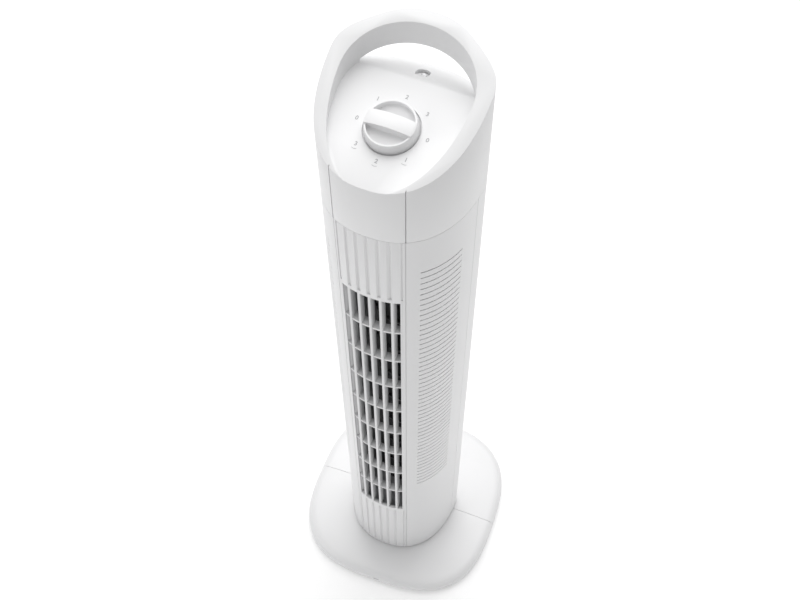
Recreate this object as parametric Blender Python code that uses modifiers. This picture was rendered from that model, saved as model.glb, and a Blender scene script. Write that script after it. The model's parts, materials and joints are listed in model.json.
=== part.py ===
"""Tower fan: an oscillating column with a cross-flow wheel, on a two-piece square-round base.

Units are metres, +Z is up and the origin is the middle of the base, on the floor.
The base is square to the axes and its front is towards -Y. The column is modelled about the
same axis, facing -Y, and hangs from an empty that turns it to where its swing is stored.
"""
import math

import bmesh
import bpy
from mathutils import Matrix, Vector

# ---------------------------------------------------------------- driving dimensions
GAP = 0.0003                  # left between pieces that touch

# Swing
SWING_REST = math.radians(-4)     # how far the column is stored from straight ahead
SWING_HALF = math.radians(35)     # the column swings this far each way from straight ahead
CRANK_RATIO = -3.0                # crank angle for each unit of column angle

# Base
BASE_HALF = 0.120
BASE_EXPONENT = 2.85
BASE_WALL = 0.0025
BASE_TOP = 0.019                  # top of the base under the column
BASE_SKIRT_LOW = 0.002            # the skirt clears the floor by this much
HUB_HOLE_RADIUS = 0.0485
BASE_STEPS = 36

# Column outline: close to a superellipse, deeper at the front than at the back
HALF_WIDTH = 0.0655
WIDEST_Y = 0.0087
FRONT_DEPTH = 0.0840
BACK_DEPTH = 0.0433
FRONT_EXPONENT = 2.32
BACK_EXPONENT = 1.70
FRONT_Y = WIDEST_Y - FRONT_DEPTH
BACK_Y = WIDEST_Y + BACK_DEPTH
COLUMN_LOW = 0.0205
SPLIT_Y = -0.004                  # front and rear housings meet here
SEAM_Z = 0.6405                   # the top housing stands on the other two here
WALL = 0.0025

# Top of the column
HEIGHT = 0.760
TOP_SLOPE = math.tan(math.radians(27.0))
PANEL_TILT = math.radians(15.5)
PANEL_SLOPE = math.tan(PANEL_TILT)
DECK_SLOPE = math.tan(math.radians(-21.0))
RIDGE_Y = 0.0200                  # back edge of the control panel
BOWL_HALF = 0.0535                # the rim's inner edge is an ellipse about the axis
BOWL_BACK = 0.0425
BOWL_FRONT = 0.0780
HANDLE_HEIGHT = 0.0200
PANEL_THICK = 0.0040
POCKET_FLOOR = 0.7110             # floor of the pocket for the handle's screw
POCKET_Y = 0.0340
TOP_FRONT_Z = HEIGHT - TOP_SLOPE * (BACK_Y - FRONT_Y)
RIDGE_Z = TOP_FRONT_Z + PANEL_SLOPE * (RIDGE_Y - FRONT_Y)

# Front grille
FASCIA_HALF = 0.0310
FASCIA_THICK = 0.0030
BACKING = 0.0022                  # housing wall behind the grille insert
BACKING_HALF = FASCIA_HALF + 0.0025
OUTLET_LOW = 0.1390
OUTLET_HIGH = 0.5597
OUTLET_ROWS = 9
RIB_PITCH = 0.0097
RIB_WIDTH = 0.0017
BAR_HEIGHT = 0.0022

# Intake slots, each standing for a group of the fine slots of the real grille
INTAKE_LOW = 0.200
INTAKE_HIGH = 0.608
INTAKE_ROWS = 10
INTAKE_SLOT = 0.030
SIDE_INTAKE_Y = (-0.0610, -0.0240)
REAR_INTAKE_HALF = 0.036

# Decks inside the column
DECK_THICK = 0.003
PLATE_LOW = 0.030                 # underside of the column's bottom plate
MOTOR_DECK_LOW = 0.126
BEARING_DECK_LOW = 0.571

# Wheel and main motor
WHEEL_X = 0.003
WHEEL_Y = -0.005
WHEEL_RADIUS = 0.030
WHEEL_INNER = 0.0235
WHEEL_LOW = 0.133
WHEEL_HIGH = 0.567
WHEEL_DISC = 0.003
WHEEL_BLADES = 14
BLADE_THICK = 0.0012
SHAFT_RADIUS = 0.003
PIN_RADIUS = 0.0025
CORE_LOW = 0.076
CORE_HIGH = 0.100
BORE_RADIUS = 0.0152
MOTOR_SCREW_X = 0.024
BRACKET_LOW = 0.0670              # underside of the motor's bottom bracket
LOOM_X = 0.0405                   # where the wires run down past the wheel
LOOM_Y = 0.018

# Swing drive
CRANK_OFFSET = 0.0245                                     # crank centre from the column's axis
CRANK_THROW = CRANK_OFFSET * math.sin(SWING_HALF)
CRANK_PIN_RADIUS = 0.0022
SLOT_HALF_WIDTH = 0.0034
SWING_MOTOR_RADIUS = 0.0245
SWING_MOTOR_LOW = 0.0453
SWING_EAR_X = 0.030
PIVOT_RADIUS = 0.0055
PIVOT_BORE = 0.0035
BEARING_RING = (0.0435, 0.0470)
RING_LOW = BASE_TOP + 0.0005
RING_HIGH = RING_LOW + 0.0042

# Dial
DIAL_Y = -0.0244
DIAL_RECESS_RADIUS = 0.0230
DIAL_RECESS_DEPTH = 0.0020
KNOB_RADIUS = 0.0213
KNOB_TOP_RADIUS = 0.0202
KNOB_SKIRT_HIGH = 0.0085
KNOB_BAR_HIGH = 0.0120
KNOB_BAR_HALF = 0.0062
KNOB_SCOOP_RADIUS = 0.0185
KNOB_SCOOP_FLOOR = 0.0020
SPINDLE_RADIUS = 0.003

# Fasteners
BOSS_RADIUS = 0.0040
PILOT_RADIUS = 0.0017
SCREW_RADIUS = 0.0014
SCREW_HEAD_RADIUS = 0.0032
SCREW_HEAD_HIGH = 0.0020
HOUSING_SCREW_X = 0.050
HOUSING_SCREW_Z = (0.090, 0.624)

UNCUT = 0.80                      # height of the top housing before it is cut
TALL = 0.9                        # higher than the whole fan, for cutters


# ---------------------------------------------------------------- scene and materials
def clear_scene():
    """Remove what a new file holds."""
    for item in list(bpy.data.objects):
        bpy.data.objects.remove(item, do_unlink=True)


def new_collection(name):
    """A collection linked to the scene."""
    group = bpy.data.collections.new(name)
    bpy.context.scene.collection.children.link(group)
    return group


def new_material(name, colour, roughness, metallic=0.0):
    """A plain Principled material."""
    material = bpy.data.materials.new(name)
    material.use_nodes = True
    shader = material.node_tree.nodes["Principled BSDF"]
    shader.inputs["Base Color"].default_value = (*colour, 1.0)
    shader.inputs["Roughness"].default_value = roughness
    shader.inputs["Metallic"].default_value = metallic
    return material


clear_scene()
PARTS = new_collection("tower_fan")
CUTTERS = new_collection("cutters")
COLUMN = bpy.data.objects.new("column_axis", None)
COLUMN.rotation_euler = (0.0, 0.0, SWING_REST)
PARTS.objects.link(COLUMN)
DIAL = bpy.data.objects.new("dial_axis", None)
DIAL.parent = COLUMN
DIAL.location = (0.0, DIAL_Y, TOP_FRONT_Z + PANEL_SLOPE * (DIAL_Y - FRONT_Y))
DIAL.rotation_euler = (PANEL_TILT, 0.0, 0.0)
PARTS.objects.link(DIAL)

WHITE = new_material("white_plastic", (0.84, 0.85, 0.86), 0.38)
WHITE_INNER = new_material("inner_plastic", (0.62, 0.63, 0.64), 0.50)
DARK = new_material("dark_plastic", (0.035, 0.035, 0.038), 0.45)
RUBBER = new_material("rubber", (0.05, 0.05, 0.05), 0.85)
STEEL = new_material("steel", (0.56, 0.56, 0.57), 0.35, 1.0)
LAMINATION = new_material("lamination", (0.30, 0.31, 0.33), 0.45, 1.0)
COPPER = new_material("winding", (0.55, 0.24, 0.10), 0.40, 1.0)
NYLON = new_material("nylon", (0.80, 0.79, 0.74), 0.45)


# ---------------------------------------------------------------- helpers
def finish(name, mesh, material, parent=None):
    """Link a finished mesh as a part, shaded smooth with sharp edges kept."""
    mesh.name = name
    part = bpy.data.objects.new(name, mesh)
    part.parent = parent
    mesh.materials.append(material)
    mesh.shade_smooth()
    mesh.set_sharp_from_angle(angle=math.radians(32))
    PARTS.objects.link(part)
    return part


def as_cutter(name, mesh, parent=None):
    """Link a mesh as a cutter, which is not a piece of the fan."""
    cutter = bpy.data.objects.new(name, mesh)
    cutter.parent = parent
    cutter.hide_render = True
    cutter.display_type = "WIRE"
    CUTTERS.objects.link(cutter)
    return cutter


def boolean(part, cutter, operation="DIFFERENCE"):
    """Add a Boolean with the exact solver."""
    modifier = part.modifiers.new(cutter.name, "BOOLEAN")
    modifier.operation = operation
    modifier.solver = "EXACT"
    modifier.object = cutter
    return part


def from_bmesh(bm):
    """A mesh with its faces pointing out."""
    bmesh.ops.recalc_face_normals(bm, faces=bm.faces)
    mesh = bpy.data.meshes.new("shape")
    bm.to_mesh(mesh)
    bm.free()
    return mesh


def prism(outline, low, high):
    """An outline in X and Y between two heights, which may be functions of (x, y)."""
    low_at = low if callable(low) else lambda x, y: low
    high_at = high if callable(high) else lambda x, y: high
    bm = bmesh.new()
    face = bm.faces.new([bm.verts.new((x, y, low_at(x, y))) for x, y in outline])
    top = bmesh.ops.extrude_face_region(bm, geom=[face])["geom"]
    for vert in (item for item in top if isinstance(item, bmesh.types.BMVert)):
        vert.co.z = high_at(vert.co.x, vert.co.y)
    return from_bmesh(bm)


def cylinders(places, radius, steps=20):
    """Separate cylinders in one mesh; each place is ((x, y), low, high)."""
    bm = bmesh.new()
    for (x, y), low, high in places:
        middle = Matrix.Translation((x, y, (low + high) / 2))
        bmesh.ops.create_cone(bm, cap_ends=True, segments=steps, radius1=radius,
                              radius2=radius, depth=high - low, matrix=middle)
    return from_bmesh(bm)


def rods_along_y(places, radius, steps=16):
    """Separate cylinders along Y in one mesh; each place is ((x, z), low_y, high_y)."""
    bm = bmesh.new()
    for (x, z), low, high in places:
        turn = Matrix.Rotation(math.pi / 2, 4, "X")
        middle = Matrix.Translation((x, (low + high) / 2, z)) @ turn
        bmesh.ops.create_cone(bm, cap_ends=True, segments=steps, radius1=radius,
                              radius2=radius, depth=high - low, matrix=middle)
    return from_bmesh(bm)


def across(outline):
    """A solid all the way across the column from an outline in Y and Z."""
    bm = bmesh.new()
    face = bm.faces.new([bm.verts.new((-0.2, y, z)) for y, z in outline])
    moved = bmesh.ops.extrude_face_region(bm, geom=[face])["geom"]
    for vert in (item for item in moved if isinstance(item, bmesh.types.BMVert)):
        vert.co.x = 0.2
    return from_bmesh(bm)


def boxes(places):
    """Separate boxes in one mesh; each place is (low corner, high corner)."""
    bm = bmesh.new()
    for low, high in places:
        size = Vector(high) - Vector(low)
        middle = (Vector(high) + Vector(low)) / 2
        bmesh.ops.create_cube(bm, size=1.0, matrix=Matrix.Translation(middle) @
                              Matrix.Diagonal((*size, 1.0)))
    return from_bmesh(bm)


def turned(name, profile, material, centre=(0.0, 0.0), steps=24, parent=None):
    """A turned solid from a profile of (radius, z), down its outer side, with a Screw."""
    bm = bmesh.new()
    verts = [bm.verts.new((radius, 0.0, z)) for radius, z in profile]
    for first, second in zip(verts, verts[1:]):
        bm.edges.new((first, second))
    if profile[0][0] > 0.0:
        bm.edges.new((verts[-1], verts[0]))
    mesh = bpy.data.meshes.new(name)
    bm.to_mesh(mesh)
    bm.free()
    part = bpy.data.objects.new(name, mesh)
    part.parent = parent
    part.location = (*centre, 0.0)
    mesh.materials.append(material)
    screw = part.modifiers.new("turn", "SCREW")
    screw.axis = "Z"
    screw.steps = steps
    screw.render_steps = steps
    screw.use_merge_vertices = True
    screw.merge_threshold = 0.00001
    screw.use_smooth_shade = True
    PARTS.objects.link(part)
    return part


def ring_profile(inner, outer, low, high):
    """The profile of a plain ring."""
    return [(outer, high), (outer, low), (inner, low), (inner, high)]


def nut_part(name, radius, bore, low, high, parent=None):
    """A six-sided nut about its parent's Z axis, with a round bore."""
    nut = turned(name, [(0.0, high), (radius, high), (radius, low), (0.0, low)], STEEL,
                 steps=6, parent=parent)
    hole = cylinders([((0.0, 0.0), low - 0.01, high + 0.01)], bore, 20)
    return boolean(nut, as_cutter(name + "_bore", hole, parent))


def screw_part(name, head, direction, length, parent=None,
               radius=SCREW_RADIUS, head_radius=SCREW_HEAD_RADIUS):
    """A pan-head screw: head is the middle of the head's underside, direction its shank."""
    profile = [(0.0, SCREW_HEAD_HIGH), (head_radius * 0.75, SCREW_HEAD_HIGH),
               (head_radius, SCREW_HEAD_HIGH * 0.4), (head_radius, 0.0),
               (radius, 0.0), (radius, -length), (0.0, -length)]
    part = turned(name, profile, STEEL, steps=10, parent=parent)
    part.location = head
    part.rotation_mode = "QUATERNION"
    part.rotation_quaternion = Vector((0, 0, -1)).rotation_difference(Vector(direction))
    return part


# ---------------------------------------------------------------- the column's outlines
def front_y(x, inset=0.0):
    """Y of the column's front at x, inset from its surface."""
    share = min(abs(x) / (HALF_WIDTH - inset), 1.0)
    reach = (1.0 - share ** FRONT_EXPONENT) ** (1.0 / FRONT_EXPONENT)
    return WIDEST_Y - (FRONT_DEPTH - inset) * reach


def front_arc(x_start, y_end, inset, count=9):
    """Right-hand points from x_start at the front, back to y_end."""
    half = HALF_WIDTH - inset
    depth = FRONT_DEPTH - inset
    power = FRONT_EXPONENT / 2
    start = math.acos((x_start / half) ** power)
    end = math.asin(((WIDEST_Y - y_end) / depth) ** power)
    points = []
    for index in range(count + 1):
        angle = start + (end - start) * index / count
        points.append((half * math.cos(angle) ** (1 / power),
                       WIDEST_Y - depth * math.sin(angle) ** (1 / power)))
    return points


def back_point(angle, inset):
    """The right-hand point at an angle, from 0 at the widest place to 90 degrees at the back.

    It is round at both ends and flatter halfway, so that it meets the front without a corner.
    """
    power = (BACK_EXPONENT + (2.0 - BACK_EXPONENT) * math.cos(2 * angle) ** 2) / 2
    return ((HALF_WIDTH - inset) * math.cos(angle) ** (1 / power),
            WIDEST_Y + (BACK_DEPTH - inset) * math.sin(angle) ** (1 / power))


def back_arc(inset, count=9):
    """Right-hand points from the widest place back to near the middle line."""
    return [back_point(math.pi / 2 * index / count, inset) for index in range(1, count)]


def back_y(x):
    """Y of the column's back at x."""
    low, high = 0.0, math.pi / 2
    for _ in range(40):
        middle = (low + high) / 2
        if back_point(middle, 0.0)[0] > x:
            low = middle
        else:
            high = middle
    return back_point(high, 0.0)[1]


def front_points(half_width, inset, count=4):
    """Right-hand points across the front, from near the middle line to half_width."""
    return [(half_width * index / count, front_y(half_width * index / count, inset))
            for index in range(1, count + 1)]


def mirrored(points):
    """A whole outline from its right-hand half."""
    return points + [(-x, y) for x, y in reversed(points)]


def cavity_outline(gap=0.0):
    """The room inside the two housings, smaller all round by gap."""
    inset = FASCIA_THICK + GAP + BACKING + gap
    half = BACKING_HALF + gap
    wall = WALL + gap
    return mirrored(front_points(half, inset) + front_arc(half, WIDEST_Y, wall)
                    + back_arc(wall))


def bowl_outline(count=10):
    """The inner edge of the rim, which runs out through the front."""
    points = []
    for index in range(1, count):
        angle = math.pi * (index / count - 0.5)
        depth = BOWL_BACK if angle > 0 else BOWL_FRONT
        points.append((BOWL_HALF * math.cos(angle), depth * math.sin(angle)))
    return mirrored(points)


def top_plane(x, y):
    """Height of the slanted top of the rim."""
    return HEIGHT + TOP_SLOPE * (y - BACK_Y)


def panel_plane(x, y):
    """Height of the control panel's face."""
    return TOP_FRONT_Z + PANEL_SLOPE * (y - FRONT_Y)


def deck_plane(x, y):
    """Height of the deck behind the panel, under the handle."""
    return RIDGE_Z + DECK_SLOPE * (y - RIDGE_Y)


def lowered(plane, drop):
    """A plane moved down."""
    return lambda x, y: plane(x, y) - drop


# ---------------------------------------------------------------- base
def superellipse(half, exponent, steps):
    """Points of a superellipse about the origin."""
    points = []
    for index in range(steps):
        angle = 2 * math.pi * (index + 0.5) / steps
        cosine, sine = math.cos(angle), math.sin(angle)
        points.append((math.copysign(half * abs(cosine) ** (2 / exponent), cosine),
                       math.copysign(half * abs(sine) ** (2 / exponent), sine)))
    return points


def base_half(name, side):
    """One half of the base: a thin domed shell; side is -1 for the front, +1 for the rear."""
    rings = [(BASE_HALF - 0.0025, BASE_EXPONENT, BASE_SKIRT_LOW),
             (BASE_HALF, BASE_EXPONENT, 0.0075),
             (BASE_HALF - 0.0012, BASE_EXPONENT, 0.0125),
             (BASE_HALF - 0.0060, BASE_EXPONENT, 0.0160),
             (0.0960, 2.5, 0.0182),
             (0.0640, 2.0, BASE_TOP),
             (HUB_HOLE_RADIUS, 2.0, BASE_TOP)]
    bm = bmesh.new()
    loops = []
    for half, exponent, z in rings:
        loops.append([bm.verts.new((x, y, z))
                      for x, y in superellipse(half, exponent, BASE_STEPS)])
    for lower, upper in zip(loops, loops[1:]):
        for index in range(BASE_STEPS):
            after = (index + 1) % BASE_STEPS
            bm.faces.new((lower[index], lower[after], upper[after], upper[index]))
    mesh = bpy.data.meshes.new("shape")
    bm.to_mesh(mesh)
    bm.free()
    part = finish(name, mesh, WHITE)
    shell = part.modifiers.new("shell", "SOLIDIFY")
    shell.thickness = BASE_WALL
    shell.offset = -1.0
    roof = BASE_TOP - 0.0018
    posts = [((x, side * 0.074), 0.0035, roof - 0.0010) for x in (-0.074, 0.074)]
    boolean(part, as_cutter(name + "_posts", cylinders(posts, 0.009)), "UNION")
    bosses = [((x, side * 0.038), 0.0130, roof) for x in (-0.038, 0.038)]
    boolean(part, as_cutter(name + "_bosses", cylinders(bosses, BOSS_RADIUS)), "UNION")
    pilots = [((x, y), 0.0, BASE_TOP - 0.0012) for (x, y), _, _ in bosses]
    boolean(part, as_cutter(name + "_pilots", cylinders(pilots, PILOT_RADIUS)))
    near, far = sorted((side * GAP / 2, side * 0.2))
    keep = as_cutter(name + "_keep", boxes([((-0.2, near, -0.1), (0.2, far, 0.1))]))
    boolean(part, keep, "INTERSECT")
    return part


def make_base():
    """The two halves, feet, hub, pivot and their screws."""
    base_half("base_front_half", -1)
    rear = base_half("base_rear_half", 1)
    inlet = as_cutter("inlet_hole", rods_along_y([((0.0, 0.0074), 0.10, 0.13)], 0.0045))
    boolean(rear, inlet)
    bush = [(0.0042, 0.0196), (0.0042, 0.0142), (0.0052, 0.0142), (0.0052, 0.0122),
            (0.0030, 0.0122), (0.0030, 0.0196)]
    part = turned("cord_inlet_bush", bush, RUBBER, steps=16)
    part.location = (0.0, BASE_HALF - 0.0205, 0.0074)
    part.rotation_euler = (-math.pi / 2, 0.0, 0.0)

    for number, (x, y) in enumerate(((-1, -1), (1, -1), (1, 1), (-1, 1)), start=1):
        foot = [(0.0, 0.0032), (0.0080, 0.0032), (0.0080, 0.0008), (0.0072, 0.0),
                (0.0, 0.0)]
        turned(f"rubber_foot_{number}", foot, RUBBER, (x * 0.074, y * 0.074), 16)
        head = (x * 0.038, y * 0.038, 0.0122)
        screw_part(f"base_screw_{number}", head, (0, 0, 1), 0.0050, head_radius=0.0056)

    flange_low = 0.0127
    flange_high = BASE_TOP - BASE_WALL - GAP
    hub = turned("swivel_hub", [(0.0, BASE_TOP + 0.0002),
                                (HUB_HOLE_RADIUS - GAP, BASE_TOP + 0.0002),
                                (HUB_HOLE_RADIUS - GAP, flange_high),
                                (0.0600, flange_high), (0.0600, flange_low),
                                (0.0, flange_low)], WHITE_INNER, steps=32)
    boolean(hub, as_cutter("hub_bore", cylinders([((0.0, 0.0), 0.0, 0.1)],
                                                 PIVOT_RADIUS + GAP)))
    holes = [((x * 0.038, y * 0.038), 0.0, 0.1) for x in (-1, 1) for y in (-1, 1)]
    boolean(hub, as_cutter("hub_screw_holes", cylinders(holes, BOSS_RADIUS + GAP, 16)))
    near = -(CRANK_OFFSET - CRANK_THROW)
    far = -(CRANK_OFFSET + CRANK_THROW)
    slot = []
    for index in range(13):
        angle = math.pi * index / 12
        slot.append((SLOT_HALF_WIDTH * math.cos(angle),
                     near + SLOT_HALF_WIDTH * math.sin(angle)))
    for index in range(13):
        angle = math.pi * (1 + index / 12)
        slot.append((SLOT_HALF_WIDTH * math.cos(angle),
                     far + SLOT_HALF_WIDTH * math.sin(angle)))
    boolean(hub, as_cutter("crank_slot", prism(slot, 0.0, 0.1)))

    inner, outer = BEARING_RING
    turned("swivel_ring", ring_profile(inner, outer, RING_LOW, RING_HIGH), NYLON, steps=32)
    pivot_low = flange_low - GAP
    pivot = [(PIVOT_RADIUS, 0.043), (PIVOT_RADIUS, pivot_low), (0.0085, pivot_low),
             (0.0085, pivot_low - 0.003), (PIVOT_BORE, pivot_low - 0.003),
             (PIVOT_BORE, 0.043)]
    turned("pivot_tube", pivot, STEEL, steps=20)
    washer_low = PLATE_LOW + DECK_THICK + GAP
    turned("pivot_washer", ring_profile(PIVOT_RADIUS + GAP, 0.0110, washer_low,
                                        washer_low + 0.0016), STEEL, steps=20)
    nut_low = washer_low + 0.0016 + GAP
    nut_part("pivot_nut", 0.0092, PIVOT_RADIUS + GAP, nut_low, nut_low + 0.005)


# ---------------------------------------------------------------- housings
def screw_places():
    """(x, z) of the four screws that hold the housings together."""
    return [(side * HOUSING_SCREW_X, z) for side in (-1, 1) for z in HOUSING_SCREW_Z]


def make_top_housing():
    """The top of the column in one piece: brow, control panel, deck and handle."""
    outline = mirrored(front_points(FASCIA_HALF, 0.0) + front_arc(FASCIA_HALF, WIDEST_Y, 0.0)
                       + back_arc(0.0))
    part = finish("top_housing", prism(outline, SEAM_Z + GAP / 2, UNCUT), WHITE, COLUMN)
    ceiling = [(-0.2, panel_plane(0, -0.2) - PANEL_THICK), (RIDGE_Y, RIDGE_Z - PANEL_THICK),
               (0.2, deck_plane(0, 0.2) - PANEL_THICK), (0.2, 1.2), (-0.2, 1.2)]
    room = as_cutter("top_room", prism(cavity_outline(), -0.1, TALL), COLUMN)
    boolean(room, as_cutter("top_ceiling", across(ceiling), COLUMN))
    boolean(part, room)

    floor = [(-0.2, panel_plane(0, -0.2)), (RIDGE_Y, RIDGE_Z), (0.2, deck_plane(0, 0.2)),
             (0.2, 1.2), (-0.2, 1.2)]
    bowl = as_cutter("bowl", prism(bowl_outline(), 0.6, TALL), COLUMN)
    beyond = [(-0.1, RIDGE_Y), (0.1, RIDGE_Y), (0.1, 0.1), (-0.1, 0.1)]
    boolean(bowl, as_cutter("hand_hole", prism(beyond, 0.6, lowered(top_plane, HANDLE_HEIGHT)),
                            COLUMN), "UNION")
    boolean(bowl, as_cutter("bowl_floor", across(floor), COLUMN), "INTERSECT")
    boolean(part, bowl)
    above = [(-0.2, -0.2), (0.2, -0.2), (0.2, 0.2), (-0.2, 0.2)]
    boolean(part, as_cutter("above_top", prism(above, top_plane, TALL + 0.1), COLUMN))

    grooves = boxes([((side * FASCIA_HALF - 0.0006, -0.1, 0.6),
                      (side * FASCIA_HALF + 0.0006, front_y(FASCIA_HALF) + 0.0010, TALL))
                     for side in (-1, 1)])
    boolean(part, as_cutter("brow_grooves", grooves, COLUMN))
    recess = cylinders([((0.0, 0.0), -DIAL_RECESS_DEPTH, 0.05)], DIAL_RECESS_RADIUS, 36)
    boolean(part, as_cutter("dial_recess", recess, DIAL))
    hole = cylinders([((0.0, 0.0), -0.05, 0.05)], 0.0050, 20)
    boolean(part, as_cutter("dial_hole", hole, DIAL))
    boss = cylinders([((0.0, POCKET_Y), POCKET_FLOOR - 0.003, 0.7135)], 0.0075, 16)
    boolean(part, as_cutter("top_boss", boss, COLUMN), "UNION")
    pocket = cylinders([((0.0, POCKET_Y), POCKET_FLOOR, 0.7250)], 0.0052, 16)
    boolean(part, as_cutter("top_pocket", pocket, COLUMN))
    pilot = cylinders([((0.0, POCKET_Y), 0.6, 0.75)], PILOT_RADIUS, 12)
    boolean(part, as_cutter("top_pilot", pilot, COLUMN))
    screw_part("handle_screw", (0.0, POCKET_Y, POCKET_FLOOR + GAP), (0, 0, -1), 0.0120, COLUMN)


def intake_rows():
    """(low, high) of each intake slot."""
    pitch = (INTAKE_HIGH - INTAKE_LOW) / INTAKE_ROWS
    rows = []
    for index in range(INTAKE_ROWS):
        middle = INTAKE_LOW + pitch * (index + 0.5)
        rows.append((middle - INTAKE_SLOT / 2, middle + INTAKE_SLOT / 2))
    return rows


def make_front_housing():
    """The front half of the column, with the recess for the grille and both side intakes."""
    half = FASCIA_HALF + GAP / 2
    y_end = SPLIT_Y - GAP / 2
    recess = FASCIA_THICK + GAP
    outline = mirrored(front_points(half, recess) + front_arc(half, y_end, 0.0))
    part = finish("front_housing", prism(outline, COLUMN_LOW, SEAM_Z - GAP / 2), WHITE,
                  COLUMN)
    boolean(part, as_cutter("front_room", prism(cavity_outline(), -0.1, TALL), COLUMN))
    bosses = []
    pilots = []
    for x, z in screw_places():
        bosses.append(((x, z), front_y(abs(x) + BOSS_RADIUS, 0.001), y_end))
        pilots.append(((x, z), y_end - 0.016, y_end + 0.01))
    boolean(part, as_cutter("front_bosses", rods_along_y(bosses, BOSS_RADIUS, 12), COLUMN),
            "UNION")
    boolean(part, as_cutter("front_pilots", rods_along_y(pilots, PILOT_RADIUS, 12), COLUMN))
    window = boxes([((-0.0295, -0.10, OUTLET_LOW - 0.004), (0.0295, -0.05, OUTLET_HIGH + 0.004))])
    boolean(part, as_cutter("outlet_window", window, COLUMN))
    slots = []
    low_y, high_y = SIDE_INTAKE_Y
    for low, high in intake_rows():
        slots.append(((0.030, low_y, low), (0.080, high_y, high)))
        slots.append(((-0.080, low_y, low), (-0.030, high_y, high)))
    boolean(part, as_cutter("side_slots", boxes(slots), COLUMN))


def make_rear_housing():
    """The rear half of the column, with the rear intake."""
    y_start = SPLIT_Y + GAP / 2
    side = front_arc(HALF_WIDTH * 0.9, y_start, 0.0, 1)[-1:]
    side += front_arc(side[0][0], WIDEST_Y, 0.0, 2)[1:]
    outline = mirrored(side + back_arc(0.0))
    part = finish("rear_housing", prism(outline, COLUMN_LOW, SEAM_Z - GAP / 2), WHITE,
                  COLUMN)
    boolean(part, as_cutter("rear_room", prism(cavity_outline(), -0.1, TALL), COLUMN))
    bosses = []
    pilots = []
    heads = []
    for x, z in screw_places():
        back = back_y(abs(x) + BOSS_RADIUS + 0.0005)
        bosses.append(((x, z), y_start, back))
        pilots.append(((x, z), -0.05, 0.1))
        heads.append(((x, z), y_start + 0.012, 0.1))
    boolean(part, as_cutter("rear_bosses", rods_along_y(bosses, 0.0050, 12), COLUMN), "UNION")
    boolean(part, as_cutter("rear_pilots", rods_along_y(pilots, PILOT_RADIUS, 12), COLUMN))
    boolean(part, as_cutter("rear_counterbores", rods_along_y(heads, 0.0036, 12), COLUMN))
    slots = [((-REAR_INTAKE_HALF, 0.025, low), (REAR_INTAKE_HALF, 0.080, high))
             for low, high in intake_rows()]
    boolean(part, as_cutter("rear_slots", boxes(slots), COLUMN))
    for number, (x, z) in enumerate(screw_places(), start=1):
        head = (x, y_start + 0.012 + GAP, z)
        screw_part(f"housing_screw_{number}", head, (0, -1, 0), 0.0240, COLUMN)


def make_front_grille():
    """The insert in the front housing: closed at top and bottom, open before the wheel."""
    half = FASCIA_HALF - GAP / 2
    outer = front_points(half, 0.0)
    inner = list(reversed(front_points(half, FASCIA_THICK)))
    outline = outer + inner + [(-x, y) for x, y in reversed(inner)]
    outline += [(-x, y) for x, y in reversed(outer)]
    part = finish("front_grille", prism(outline, COLUMN_LOW + GAP, SEAM_Z - GAP / 2), WHITE,
                  COLUMN)
    holes = []
    pitch = (OUTLET_HIGH - OUTLET_LOW) / OUTLET_ROWS
    for row in range(OUTLET_ROWS):
        low = OUTLET_LOW + pitch * row + BAR_HEIGHT / 2
        for column in range(-3, 3):
            left = RIB_PITCH * column + RIB_WIDTH / 2
            holes.append(((left, -0.1, low),
                          (left + RIB_PITCH - RIB_WIDTH, -0.05, low + pitch - BAR_HEIGHT)))
    boolean(part, as_cutter("grille_cells", boxes(holes), COLUMN))


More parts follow.
